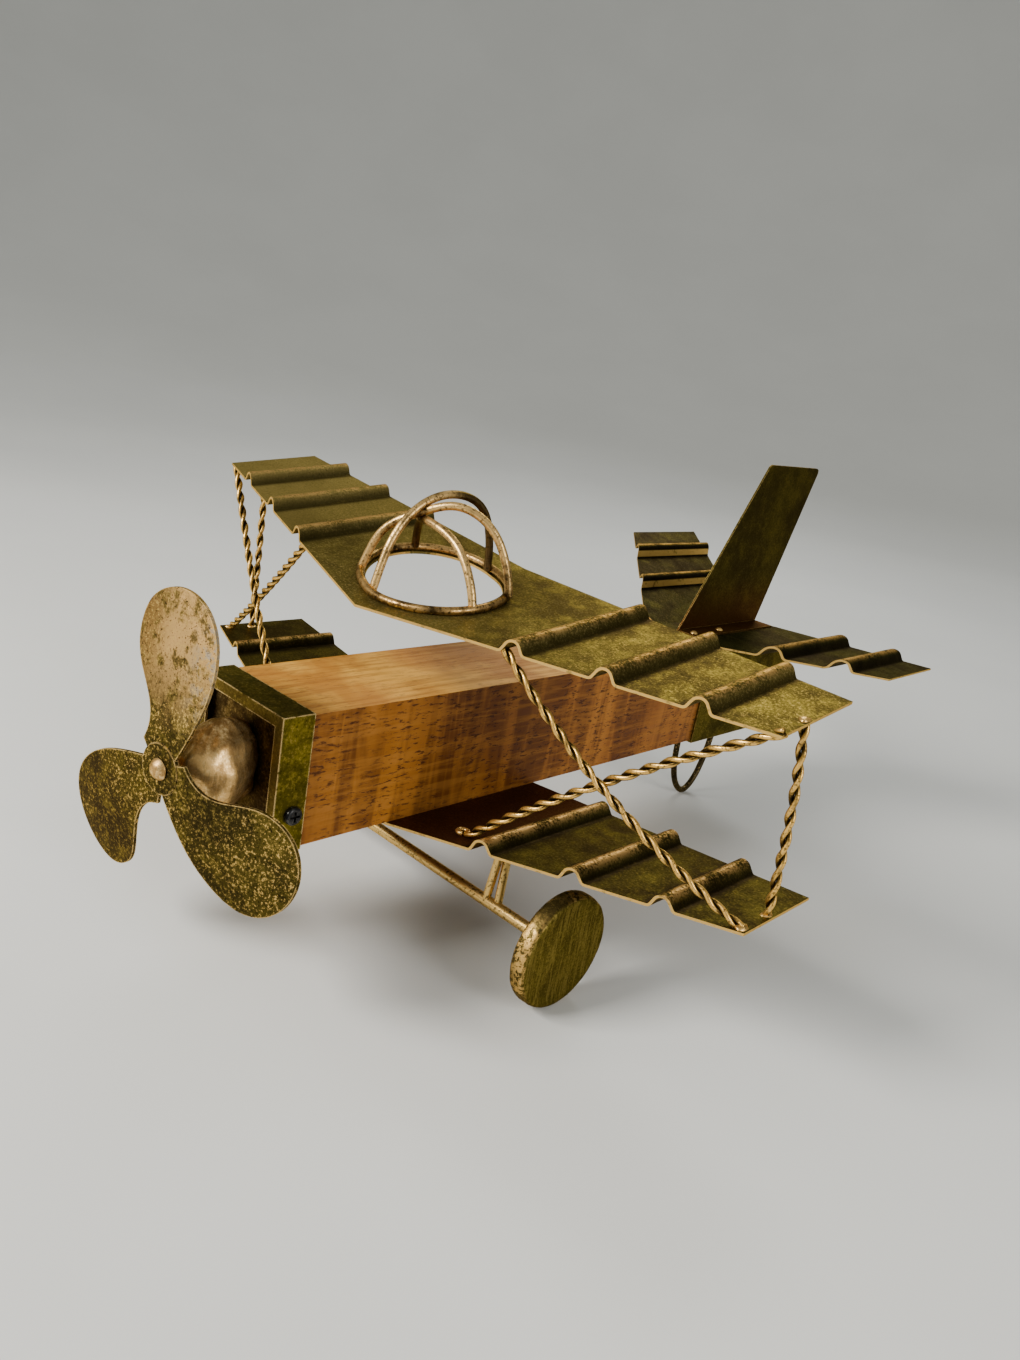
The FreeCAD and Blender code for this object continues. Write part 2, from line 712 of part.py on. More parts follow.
# ---- assembly --------------------------------------------------------------------------------
def build():
    ground_z = axle_z - wheel_radius
    pieces = {}
    pieces["fuselage_block"] = make_fuselage_block()
    pieces["nose_cowl_frame"] = make_nose_cowl_frame()
    pieces["nose_back_plate"] = make_nose_back_plate()
    pieces["nose_dome"] = make_nose_dome()
    pieces["cowl_screws"] = make_cowl_screws()
    pieces["propeller_pin"] = make_propeller_pin()
    pieces["propeller_collar"] = make_propeller_collar()
    pieces["propeller"] = make_propeller()

    upper = make_upper_wing()
    lower = make_lower_wing()
    pieces["upper_wing"] = upper
    pieces["lower_wing"] = lower
    pieces["lower_wing_screws"] = make_lower_wing_screws()
    for name, (upper_xy, lower_xy, bow) in strut_plan.items():
        ends = strut_ends(upper_xy, lower_xy)
        pieces[name] = strut(ends[0], ends[1], bow, (upper, lower))

    ring = make_cage_base_ring(upper)
    hoop_long = cage_hoop(hoop_long_points(), (ring, upper))
    hoop_diagonal = cage_hoop(hoop_diagonal_points(), (ring, upper, hoop_long))
    hoop_cross = cage_hoop(hoop_cross_points(), (ring, upper, hoop_long, hoop_diagonal))
    pieces["cage_base_ring"] = ring
    pieces["cage_hoop_long"] = hoop_long
    pieces["cage_hoop_diagonal"] = hoop_diagonal
    pieces["cage_hoop_cross"] = hoop_cross

    pieces["tail_box"] = make_tail_box()
    pieces["tail_box_screws"] = make_tail_box_screws()
    pieces["tailplane"] = make_tailplane()
    pieces["tail_fin"] = make_tail_fin()
    pieces["fin_rivets"] = make_fin_rivets()
    pieces["tail_skid"] = make_tail_skid(ground_z)

    axle = make_axle()
    pieces["axle"] = axle
    for side, word in ((1, "port"), (-1, "starboard")):
        pieces[word + "_front_leg"] = make_leg(side, front_leg, axle, lower)
        pieces[word + "_rear_leg"] = make_leg(side, rear_leg, axle, lower)
        pieces[word + "_wheel_shell"] = make_wheel_shell(side)
        pieces[word + "_wheel_back_disc"] = make_wheel_back_disc(side)
        pieces[word + "_wheel_bush"] = make_wheel_bush(side)
        pieces[word + "_axle_washer"] = make_axle_washer(side)
    return pieces


os.makedirs("parts", exist_ok=True)
assembly = build()
whole = Part.makeCompound(list(assembly.values())).optimalBoundingBox(False, False)
to_row_frame = Vec(-(whole.XMin + whole.XMax) / 2, -(whole.YMin + whole.YMax) / 2, -whole.ZMin)
for node, piece in assembly.items():
    piece.translate(to_row_frame)
    piece.exportStep("parts/" + node + ".step")
print("moved by", to_row_frame)
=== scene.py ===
import math

import bpy
from mathutils import Matrix, Vector, noise


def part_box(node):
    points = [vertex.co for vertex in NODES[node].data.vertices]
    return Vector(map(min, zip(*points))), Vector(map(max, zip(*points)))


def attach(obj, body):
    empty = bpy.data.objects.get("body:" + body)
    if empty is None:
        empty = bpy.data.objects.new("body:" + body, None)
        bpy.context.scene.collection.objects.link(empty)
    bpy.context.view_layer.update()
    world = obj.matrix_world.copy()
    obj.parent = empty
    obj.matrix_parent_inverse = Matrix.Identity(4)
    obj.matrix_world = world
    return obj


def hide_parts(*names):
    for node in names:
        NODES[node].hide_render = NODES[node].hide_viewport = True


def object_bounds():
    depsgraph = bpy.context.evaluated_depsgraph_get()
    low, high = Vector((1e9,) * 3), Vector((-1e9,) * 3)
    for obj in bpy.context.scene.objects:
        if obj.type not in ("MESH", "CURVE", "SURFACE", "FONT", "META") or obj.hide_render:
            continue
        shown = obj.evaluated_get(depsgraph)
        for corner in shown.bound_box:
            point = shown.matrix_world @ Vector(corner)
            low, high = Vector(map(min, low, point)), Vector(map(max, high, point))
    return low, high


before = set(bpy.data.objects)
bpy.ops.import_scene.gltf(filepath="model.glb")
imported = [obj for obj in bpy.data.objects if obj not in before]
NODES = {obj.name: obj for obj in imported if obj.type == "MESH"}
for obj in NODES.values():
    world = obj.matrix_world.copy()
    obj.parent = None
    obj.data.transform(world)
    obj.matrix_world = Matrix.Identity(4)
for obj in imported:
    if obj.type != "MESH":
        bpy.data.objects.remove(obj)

cad_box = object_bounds()
MM = 0.001


def middle(node):
    """Centre of a CAD node's box."""
    low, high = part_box(node)
    return (low + high) / 2


# ---------------------------------------------------------------- shader nodes
# Places of the colour sockets on Blender's Mix node.
MIX_A, MIX_B, MIX_RESULT = 6, 7, 2

# How far the bevelled normal has turned where wear starts and where it is full.
WEAR_STARTS, WEAR_FULL = 0.02, 0.22


class Tree:
    """Adds shader nodes to one new material. place is the position on the piece, in metres."""

    def __init__(self, name):
        self.mat = bpy.data.materials.new(name)
        self.mat.use_nodes = True
        self.nodes = self.mat.node_tree.nodes
        self.links = self.mat.node_tree.links
        self.shader = self.nodes["Principled BSDF"]
        self.place = self.nodes.new("ShaderNodeTexCoord").outputs["Object"]

    def put(self, value, socket):
        """Link a socket to value if value is a socket, and set it if value is a constant."""
        if isinstance(value, bpy.types.NodeSocket):
            self.links.new(value, socket)
        elif socket.type == "RGBA" and len(value) == 3:
            socket.default_value = (*value, 1.0)
        else:
            socket.default_value = value

    def set(self, name, value):
        self.put(value, self.shader.inputs[name])

    def math(self, operation, a, b=0.0):
        node = self.nodes.new("ShaderNodeMath")
        node.operation = operation
        self.put(a, node.inputs[0])
        self.put(b, node.inputs[1])
        return node.outputs[0]

    def times(self, a, b):
        return self.math("MULTIPLY", a, b)

    def size(self, value):
        return self.math("ABSOLUTE", value)

    def blend(self, a, share_a, b, share_b):
        """Sum of a and b, each by its share."""
        return self.math("ADD", self.times(a, share_a), self.times(b, share_b))

    def noise(self, scale, detail=4.0, rough=0.55, vector=None, warp=0.0):
        node = self.nodes.new("ShaderNodeTexNoise")
        self.put(vector or self.place, node.inputs["Vector"])
        node.inputs["Scale"].default_value = scale
        node.inputs["Detail"].default_value = detail
        node.inputs["Roughness"].default_value = rough
        node.inputs["Distortion"].default_value = warp
        return node.outputs["Fac"]

    def streaks(self, scales, detail=4.0, rough=0.55, warp=0.0, move=(0, 0, 0), turn=(0, 0, 0)):
        """Noise with its own scale on each axis, drawn out along the axes with a small one."""
        node = self.nodes.new("ShaderNodeMapping")
        self.put(self.place, node.inputs["Vector"])
        node.inputs["Scale"].default_value = scales
        node.inputs["Location"].default_value = move
        node.inputs["Rotation"].default_value = turn
        return self.noise(1.0, detail, rough, node.outputs[0], warp)

    def step(self, value, low, high, to_low=0.0, to_high=1.0):
        """to_low up to low, to_high from high on, and a smooth change between."""
        node = self.nodes.new("ShaderNodeMapRange")
        node.interpolation_type = "SMOOTHSTEP"
        for name, item in (("Value", value), ("From Min", low), ("From Max", high),
                           ("To Min", to_low), ("To Max", to_high)):
            self.put(item, node.inputs[name])
        return node.outputs[0]

    def fade(self, value, low, high):
        """1 up to low, 0 from high on."""
        return self.step(value, low, high, 1.0, 0.0)

    def mix(self, share, a, b):
        node = self.nodes.new("ShaderNodeMix")
        node.data_type = "RGBA"
        self.put(share, node.inputs[0])
        self.put(a, node.inputs[MIX_A])
        self.put(b, node.inputs[MIX_B])
        return node.outputs[MIX_RESULT]

    def cover(self, colour, mask, amount, paint):
        """Paint over the colour where the mask is 1. The amount says how fully."""
        return self.mix(self.times(mask, amount), colour, paint)

    def axes(self, vector=None):
        node = self.nodes.new("ShaderNodeSeparateXYZ")
        self.put(vector or self.place, node.inputs[0])
        return node.outputs[0], node.outputs[1], node.outputs[2]

    def attribute(self, name):
        node = self.nodes.new("ShaderNodeAttribute")
        node.attribute_name = name
        return node.outputs["Fac"]

    def facing(self):
        """The three parts of the face normal."""
        geometry = self.nodes.new("ShaderNodeNewGeometry")
        return self.axes(geometry.outputs["True Normal"])

    def edge_wear_and_highlight(self, radius):
        """1 close to sharp edges, 0 on the open face."""
        bevel = self.nodes.new("ShaderNodeBevel")
        bevel.samples = 6
        bevel.inputs["Radius"].default_value = radius
        geometry = self.nodes.new("ShaderNodeNewGeometry")
        dot = self.nodes.new("ShaderNodeVectorMath")
        dot.operation = "DOT_PRODUCT"
        self.links.new(bevel.outputs[0], dot.inputs[0])
        self.links.new(geometry.outputs["Normal"], dot.inputs[1])
        away = self.math("SUBTRACT", 1.0, dot.outputs["Value"])
        return self.step(away, WEAR_STARTS, WEAR_FULL)

    def bump(self, height, distance, strength):
        node = self.nodes.new("ShaderNodeBump")
        node.inputs["Strength"].default_value = strength
        node.inputs["Distance"].default_value = distance
        self.put(height, node.inputs["Height"])
        self.set("Normal", node.outputs[0])


# ---------------------------------------------------------------- kinds of material
CUT_EDGE = (0.66, 0.42, 0.12)
RUBBED_CREST = (0.52, 0.30, 0.10)
SHEET_TINT = (0.62, 0.50, 0.28)
WIRE_TINT = (0.8, 0.66, 0.4)
WIRE_SOOT = (0.030, 0.018, 0.006)
WIRE_SHINE = (0.88, 0.60, 0.24)
# Colour of the painted shade between twisted strands.
SHADE_BETWEEN_STRANDS = (0.010, 0.006, 0.002)

# Distance of each rib from the middle of its sheet, in mm, as in the CAD model.
UPPER_RIBS = (64.3, 97.7, 129.9)
LOWER_RIBS = (65.1, 100.2, 132.4)
TAIL_RIBS = (44.8, 71.0)


def darker(colour, factor):
    return tuple(channel * factor for channel in colour)


def rib_masks(t, ribs):
    """Masks of the rib crests and of the grooves at their feet, from the distance to each rib."""
    across = t.size(t.axes()[0])
    crest, foot = None, None
    for rib in ribs:
        gap = t.size(t.math("SUBTRACT", across, rib * MM))
        top = t.fade(gap, 0.8 * MM, 3.4 * MM)
        groove = t.times(t.step(gap, 2.2 * MM, 4.4 * MM), t.fade(gap, 5.0 * MM, 8.5 * MM))
        crest = top if crest is None else t.math("MAXIMUM", crest, top)
        foot = groove if foot is None else t.math("MAXIMUM", foot, groove)
    return crest, foot


def cut_rim(t):
    """Mask of a level sheet's thin cut faces, which look forward, back or straight sideways."""
    normal = t.facing()
    rim = t.math("MAXIMUM", t.step(t.size(normal[1]), 0.55, 0.75),
                 t.step(t.size(normal[0]), 0.96, 0.985))
    return t.times(rim, t.step(t.noise(260.0, 3.0, 0.6), 0.30, 0.46, 0.45, 1.0))


def patina(name, dark, mid, light, speck, rough=(0.40, 0.60), speck_size=1100.0,
           speck_amount=0.5, mottling=26.0, light_amount=0.5, edge=None, edge_width=0.7,
           ribs=(), relief=0.10, pits=0.6, highlight=None):
    """Antique-gold metal: dark ground, cloudy mid tone, rubbed light tone and fine gold specks.

    edge_width and relief are in mm. A sheet with ribs gets rubbed crests and a bright cut rim.
    """
    t = Tree(name)
    cloud = t.noise(mottling, 5.0, 0.6, warp=0.4)
    drift = t.noise(mottling * 4.3, 5.0, 0.62)
    grain = t.noise(speck_size, 3.0, 0.65)
    dust = t.noise(speck_size * 2.2, 2.0, 0.7)
    rubbed = t.blend(drift, 0.5, grain, 0.5)
    flecks = t.blend(grain, 0.55, dust, 0.45)

    colour = t.mix(t.step(t.blend(cloud, 0.6, drift, 0.4), 0.38, 0.62), dark, mid)
    colour = t.cover(colour, t.step(rubbed, 0.50, 0.64), light_amount, light)
    if highlight is not None:
        colour = highlight(t, colour)
    fleck_mask = t.times(t.step(flecks, 0.54, 0.60), t.step(cloud, 0.40, 0.56, 0.35, 1.0))
    colour = t.cover(colour, fleck_mask, speck_amount, speck)
    colour = t.cover(colour, t.fade(flecks, 0.38, 0.45), pits, darker(dark, 0.2))
    if ribs:
        crest, foot = rib_masks(t, ribs)
        broken = t.step(rubbed, 0.42, 0.56)
        colour = t.cover(colour, foot, 0.8, darker(dark, 0.3))
        colour = t.cover(colour, t.times(crest, broken), 0.9, RUBBED_CREST)
        colour = t.mix(cut_rim(t), colour, CUT_EDGE)
    if edge is not None:
        # Bright sharp edges: rubbed wear, and on the propeller also a painted highlight along the
        # blade edges.
        ragged = t.step(t.noise(speck_size * 0.4, 3.0, 0.6), 0.36, 0.50)
        colour = t.cover(colour, t.times(t.edge_wear_and_highlight(edge_width * MM), ragged), 0.9, edge)

    t.set("Base Color", colour)
    t.set("Metallic", 0.85)
    t.set("Specular IOR Level", 0.3)
    t.set("Specular Tint", SHEET_TINT)
    t.set("Roughness", t.step(rubbed, 0.35, 0.65, rough[1], rough[0]))
    t.bump(t.blend(grain, 0.7, drift, 0.6), relief * MM, 0.8)
    return t.mat


def wire_gold(name, dark=WIRE_SOOT, light=(0.72, 0.45, 0.14), metallic=0.9, wear=0.5,
              painted_strand_shade=False, highlight=None):
    """Pale gold wire with dark left in pits and in a few worn-through stretches."""
    t = Tree(name)
    patch = t.noise(95.0, 4.0, 0.6)
    fine = t.noise(900.0, 3.0, 0.6)
    colour = t.mix(t.step(patch, 0.30, wear), darker(dark, 3.0), light)
    colour = t.mix(t.step(fine, 0.36, 0.46, 0.8, 0.0), colour, dark)
    colour = t.cover(colour, t.step(fine, 0.58, 0.7), 0.5, WIRE_SHINE)
    if highlight is not None:
        colour = highlight(t, colour)
    # Painted shade in the grooves between twisted strands.
    if painted_strand_shade:
        colour = t.mix(t.attribute("painted_strand_shade"), colour, SHADE_BETWEEN_STRANDS)
    t.set("Base Color", colour)
    t.set("Metallic", metallic)
    t.set("Specular Tint", WIRE_TINT)
    t.set("Roughness", t.step(fine, 0.3, 0.7, 0.46, 0.28))
    t.bump(t.blend(fine, 1.0, patch, 0.6), 0.10 * MM, 0.7)
    return t.mat


TOP_BROWN, TOP_HONEY, TOP_STREAK = (0.44, 0.185, 0.024), (0.68, 0.350, 0.056), (0.30, 0.115, 0.018)
FLANK_BROWN, FLANK_AMBER = (0.215, 0.068, 0.008), (0.40, 0.150, 0.022)
FLANK_BAND, FLANK_STREAK = (0.090, 0.024, 0.003), (0.48, 0.20, 0.035)
END_DARK, END_LIGHT = (0.16, 0.06, 0.012), (0.30, 0.12, 0.025)
PORE = (0.045, 0.012, 0.003)


def timber(name):
    """Figured hardwood: fine grain along Y, soft cross bands on the sides, short dark pores."""
    t = Tree(name)
    normal = t.facing()
    side = t.step(t.size(normal[0]), 0.4, 0.8)
    end = t.step(t.size(normal[1]), 0.4, 0.8)
    streak = t.streaks((420, 22, 420), 5.0, 0.6, warp=0.3)
    wave = t.streaks((26, 30, 26), 3.0, 0.5, warp=0.6)
    bands = t.streaks((9, 62, 7), 4.0, 0.62, warp=0.4, move=(0.3, 0.1, 0.2))
    broad = t.streaks((6, 24, 5), 2.0, 0.5, warp=0.3, move=(2.1, 0.7, 0.4))

    top = t.mix(t.step(wave, 0.34, 0.62), TOP_BROWN, TOP_HONEY)
    top = t.cover(top, t.step(streak, 0.42, 0.64), 0.6, TOP_STREAK)
    # The sides' colours are darker than the top's: partly the wood's own figure, partly painted
    # shade on the sides.
    flank = t.mix(t.step(broad, 0.38, 0.62), FLANK_BROWN, FLANK_AMBER)
    flank = t.cover(flank, t.step(bands, 0.42, 0.62), 0.85, FLANK_BAND)
    flank = t.cover(flank, t.step(streak, 0.42, 0.62), 0.32, FLANK_STREAK)
    end_rings = t.streaks((60, 60, 260), 4.0, 0.6)
    end_grain = t.mix(t.step(end_rings, 0.4, 0.6), END_DARK, END_LIGHT)
    colour = t.mix(end, t.mix(side, top, flank), end_grain)

    pores = t.streaks((950, 190, 850), 3.0, 0.7, warp=0.2, move=(0.2, 0.0, 0.1), turn=(0.22, 0, 0))
    patches = t.noise(38.0, 2.0, 0.5)
    pore_mask = t.times(t.step(pores, 0.53, 0.63), t.step(patches, 0.30, 0.50))
    depth = t.step(side, 0.0, 1.0, 0.30, 0.85)
    colour = t.cover(colour, pore_mask, depth, PORE)

    t.set("Base Color", colour)
    t.set("Roughness", t.step(streak, 0.3, 0.7, 0.48, 0.62))
    t.set("Specular IOR Level", 0.16)
    t.bump(t.blend(streak, 0.5, pore_mask, -0.8), 0.12 * MM, 0.7)
    return t.mat


def black_paint(name):
    """Black enamel, rubbed slightly grey."""
    t = Tree(name)
    wear = t.noise(700.0, 3.0, 0.6)
    t.set("Base Color", t.mix(t.step(wear, 0.5, 0.66), (0.010, 0.010, 0.011), (0.05, 0.047, 0.04)))
    t.set("Metallic", 0.5)
    t.set("Roughness", t.step(wear, 0.3, 0.7, 0.42, 0.24))
    t.bump(wear, 0.05 * MM, 0.5)
    return t.mat


# ---------------------------------------------------------------- wear and painted light in one place of a piece
HUB_Z = middle("propeller_pin").z
FIN_FOOT_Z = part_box("tail_fin")[0].z
COWL_SIDE_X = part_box("nose_cowl_frame")[1].x
DOME_MIDDLE_Z = middle("nose_dome").z
CAGE_MIDDLE_Y = middle("cage_base_ring").y


def tip_rub_and_highlight(t, colour):
    """The upper blade is lighter towards its tip, partly rubbed and partly a painted highlight,
    with painted shade at one side and grey patches at the other.
    """
    x, _, z = t.axes()
    high = t.times(t.step(z, HUB_Z + 9.5 * MM, HUB_Z + 49.5 * MM),
                   t.step(t.noise(160.0, 5.0, 0.66), 0.40, 0.52, 0.15, 1.0))
    # Lighter towards the tip: partly rubbed metal, partly a painted highlight.
    colour = t.cover(colour, high, 0.85, (0.66, 0.40, 0.145))
    # Painted shade at one side of the lighter part.
    shade = t.times(t.fade(x, -16 * MM, -4 * MM), high)
    colour = t.cover(colour, shade, 0.75, (0.16, 0.085, 0.022))
    grey = t.times(t.step(x, 4 * MM, 16 * MM), t.step(t.noise(210.0, 4.0, 0.65), 0.47, 0.56))
    return t.cover(colour, t.times(grey, high), 0.8, (0.34, 0.31, 0.26))


def fin_shade(t, colour):
    """Reddish brown where the fin meets its foot."""
    low = t.fade(t.axes()[2], FIN_FOOT_Z + 0.5 * MM, FIN_FOOT_Z + 31.5 * MM)
    return t.cover(colour, low, 0.75, (0.085, 0.030, 0.008))


def wheel_bands(t, colour):
    """Brushed face with upright streaks and a bright pitted rim."""
    streak = t.streaks((900, 900, 60), 4.0, 0.6)
    colour = t.cover(colour, t.step(streak, 0.46, 0.60), 0.55, (0.24, 0.175, 0.040))
    rim = t.fade(t.size(t.facing()[0]), 0.45, 0.85)
    colour = t.mix(rim, colour, (0.060, 0.042, 0.012))
    pitted = t.times(t.step(t.noise(520.0, 4.0, 0.7), 0.44, 0.54),
                     t.step(t.noise(70.0, 3.0), 0.36, 0.6))
    return t.mix(t.times(rim, pitted), colour, (0.64, 0.40, 0.12))


def cowl_lip_and_shaded_top(t, colour):
    """Painted shade on the top, and a dark inside. The front lip is dull between its two bright
    edges.
    """
    normal = t.facing()
    # Painted shade on the top face.
    colour = t.cover(colour, t.step(normal[2], 0.6, 0.85), 0.75, (0.030, 0.030, 0.008))
    colour = t.cover(colour, t.fade(normal[1], -0.85, -0.6), 0.85, (0.11, 0.070, 0.018))
    inside = t.fade(t.size(t.axes()[0]), COWL_SIDE_X - 2.4 * MM, COWL_SIDE_X - 1.6 * MM)
    sideways = t.step(t.size(normal[0]), 0.6, 0.85)
    return t.cover(colour, t.times(inside, sideways), 0.85, (0.030, 0.017, 0.007))


def purple_root(t, colour):
    """The lower wing is darker and redder from the timber out to its first rib."""
    near = t.fade(t.size(t.axes()[0]), (LOWER_RIBS[0] - 10.1) * MM, (LOWER_RIBS[0] + 0.9) * MM)
    return t.cover(colour, near, 0.85, (0.090, 0.032, 0.014))


def painted_light_starboard(t, colour):
    """Painted light: the starboard half of the upper wing is made lighter than the port half."""
    half = t.step(t.axes()[0], -120 * MM, -40 * MM, 0.55, 0.0)
    return t.mix(half, colour, (0.36, 0.275, 0.085))


def dome_streaks_and_shade(t, colour):
    """Upright dark streaks, and painted shade on the lower starboard side."""
    x, _, z = t.axes()
    streak = t.streaks((330, 330, 45), 4.0, 0.65, warp=0.3)
    colour = t.cover(colour, t.step(streak, 0.50, 0.62), 0.45, (0.20, 0.105, 0.032))
    # Painted shade on the lower starboard side.
    side = t.fade(x, -10 * MM, 1 * MM)
    low = t.step(z, DOME_MIDDLE_Z - 7.3 * MM, DOME_MIDDLE_Z + 6.7 * MM, 1.0, 0.25)
    return t.cover(colour, t.times(side, low), 0.55, (0.10, 0.050, 0.015))


def rear_painted_shade(t, colour):
    """Painted shade on the part of each hoop that lies further back and to starboard."""
    x, y, _ = t.axes()
    # Distance back along a slant to starboard: painted shade grows with it, with a ragged border.
    depth = t.blend(t.math("SUBTRACT", y, CAGE_MIDDLE_Y), 0.75, x, -0.66)
    rear = t.blend(depth, 1.0, t.noise(110.0, 3.0, 0.6), 12 * MM)
    return t.cover(colour, t.step(rear, 6 * MM, 16 * MM), 0.9, (0.030, 0.017, 0.006))


# ---------------------------------------------------------------- the materials
# The upper wing gets painted light on its starboard half.
upper_sheet = patina(
    "upper_wing_sheet", dark=(0.062, 0.048, 0.012), mid=(0.150, 0.118, 0.032),
    light=(0.24, 0.185, 0.055), speck=(0.50, 0.36, 0.13), speck_amount=0.6,
    ribs=UPPER_RIBS, highlight=painted_light_starboard)
lower_sheet = patina(
    "lower_wing_sheet", dark=(0.024, 0.018, 0.004), mid=(0.056, 0.046, 0.010),
    light=(0.10, 0.078, 0.018), speck=(0.26, 0.18, 0.05), speck_amount=0.35,
    ribs=LOWER_RIBS, highlight=purple_root)
tail_sheet = patina(
    "tailplane_sheet", dark=(0.012, 0.014, 0.004), mid=(0.030, 0.034, 0.009),
    light=(0.062, 0.062, 0.016), speck=(0.22, 0.16, 0.05), speck_amount=0.3, ribs=TAIL_RIBS)
fin_sheet = patina(
    "fin_sheet", dark=(0.028, 0.022, 0.004), mid=(0.062, 0.050, 0.008),
    light=(0.105, 0.082, 0.014), speck=(0.18, 0.130, 0.030), speck_amount=0.25,
    mottling=20, edge=(0.50, 0.34, 0.11), edge_width=0.5, highlight=fin_shade)
cowl_sheet = patina(
    "cowl_sheet", dark=(0.075, 0.060, 0.004), mid=(0.20, 0.155, 0.010),
    light=(0.33, 0.24, 0.028), speck=(0.46, 0.32, 0.08), speck_amount=0.4, speck_size=800,
    mottling=60, edge=(0.94, 0.68, 0.30), edge_width=1.1, highlight=cowl_lip_and_shaded_top)
plate_sheet = patina(
    "back_plate_sheet", dark=(0.030, 0.016, 0.005), mid=(0.10, 0.060, 0.018),
    light=(0.22, 0.14, 0.05), speck=(0.36, 0.24, 0.10), speck_amount=0.4, mottling=60)
tail_box_sheet = patina(
    "tail_box_sheet", dark=(0.040, 0.034, 0.006), mid=(0.105, 0.084, 0.014),
    light=(0.18, 0.135, 0.026), speck=(0.34, 0.24, 0.06), speck_amount=0.35,
    edge=(0.55, 0.36, 0.12))
# Propeller: the bright edge colour is partly a painted highlight along the blade edges.
prop_metal = patina(
    "propeller_metal", dark=(0.024, 0.018, 0.005), mid=(0.075, 0.056, 0.010),
    light=(0.19, 0.135, 0.030), speck=(0.62, 0.40, 0.12), speck_amount=0.85, speck_size=820,
    light_amount=0.6, mottling=30, rough=(0.32, 0.50), edge=(0.88, 0.60, 0.23), edge_width=0.9,
    relief=0.22, pits=0.9, highlight=tip_rub_and_highlight)
wheel_metal = patina(
    "wheel_metal", dark=(0.045, 0.034, 0.004), mid=(0.100, 0.076, 0.010),
    light=(0.165, 0.125, 0.022), speck=(0.30, 0.21, 0.05), speck_amount=0.4,
    highlight=wheel_bands)
bronze = patina(
    "dome_bronze", dark=(0.24, 0.125, 0.036), mid=(0.78, 0.49, 0.18),
    light=(0.94, 0.68, 0.32), speck=(0.95, 0.72, 0.38), speck_amount=0.25, light_amount=0.6,
    mottling=60, rough=(0.30, 0.46), pits=0.25, highlight=dome_streaks_and_shade)

CAGE_SOOT = (0.016, 0.009, 0.003)
gold_wire = wire_gold("gold_wire")
strand_wire = wire_gold("strand_wire", light=(0.80, 0.48, 0.12), wear=0.44, painted_strand_shade=True)
cage_wire = wire_gold("cage_wire", dark=CAGE_SOOT, light=(0.56, 0.34, 0.12), wear=0.60)
# Hoops: painted shade on their rear starboard parts.
hoop_wire = wire_gold("hoop_wire", dark=CAGE_SOOT, light=(0.70, 0.45, 0.17), wear=0.52,
                      highlight=rear_painted_shade)
shaft_gold = wire_gold("shaft_gold", light=(0.76, 0.50, 0.16), wear=0.38)
weld_metal = wire_gold("weld_metal", light=(0.80, 0.50, 0.16))
dark_wire = wire_gold("dark_wire", dark=(0.006, 0.004, 0.002), light=(0.045, 0.032, 0.013),
                      metallic=0.8)
wood = timber("figured_timber")
black = black_paint("black_screw_paint")

BY_NODE = {
    "upper_wing": upper_sheet, "lower_wing": lower_sheet, "tailplane": tail_sheet,
    "tail_fin": fin_sheet, "nose_cowl_frame": cowl_sheet, "nose_back_plate": plate_sheet,
    "tail_box": tail_box_sheet, "propeller": prop_metal, "propeller_pin": bronze,
    "propeller_collar": bronze, "nose_dome": bronze, "cowl_screws": black,
    "lower_wing_screws": black, "tail_box_screws": black, "fuselage_block": wood,
    "fin_rivets": weld_metal, "tail_skid": dark_wire, "axle": shaft_gold,
}


def material_for(node):
    if node in BY_NODE:
        return BY_NODE[node]
    if "wheel" in node:
        return wheel_metal
    if node.startswith("cage_hoop"):
        return hoop_wire
    if node.startswith("cage"):
        return cage_wire
    if node.endswith("leg"):
        return shaft_gold
    return gold_wire


for node, obj in NODES.items():
    obj.data.materials.clear()
    obj.data.materials.append(material_for(node))


# ---------------------------------------------------------------- mesh helpers
def make_piece(name, verts, faces, material, slot, body="airframe", replaces=()):
    mesh = bpy.data.meshes.new(name)
    mesh.from_pydata([tuple(v) for v in verts], [], faces)
    mesh.validate()
    mesh.update()
    for polygon in mesh.polygons:
        polygon.use_smooth = True
    mesh.materials.append(material)
    obj = bpy.data.objects.new(name, mesh)
    bpy.context.scene.collection.objects.link(obj)
    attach(obj, body)
    if replaces:
        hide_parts(*replaces)
    return obj


def turns(sides):
    """The angles of equally spaced points round a circle."""
    return [math.tau * k / sides for k in range(sides)]


def ring_faces(rings, sides, flip=False):
    """Quads that join each ring of points to the next. flip turns them inside out."""
    faces = []
    for i in range(rings - 1):
        for k in range(sides):
            a, b = i * sides + k, i * sides + (k + 1) % sides
            faces.append((a, a + sides, b + sides, b) if flip else (a, b, b + sides, a + sides))
    return faces


def sphere_angles(rings, sides):
    """For each point of a sphere, pole to pole: angle from the pole, turn and direction."""
    for i in range(rings):
        tilt = math.pi * i / (rings - 1)
        for turn in turns(sides):
            yield tilt, turn, Vector((math.sin(tilt) * math.cos(turn),
                                      math.sin(tilt) * math.sin(turn), math.cos(tilt)))


def tube(path, radius, sides=12):
    """Verts and faces of a round tube along a path, with closed ends."""
    verts = []
    normal = None
    for i, point in enumerate(path):
        ahead = (path[min(i + 1, len(path) - 1)] - path[max(i - 1, 0)]).normalized()
        if normal is None:
            normal = ahead.orthogonal().normalized()
        normal = (normal - ahead * normal.dot(ahead)).normalized()
        side = ahead.cross(normal)
        for a in turns(sides):
            verts.append(point + (normal * math.cos(a) + side * math.sin(a)) * radius)
    faces = ring_faces(len(path), sides)
    faces.append(tuple(range(sides - 1, -1, -1)))
    last = (len(path) - 1) * sides
    faces.append(tuple(range(last, last + sides)))
    return verts, faces


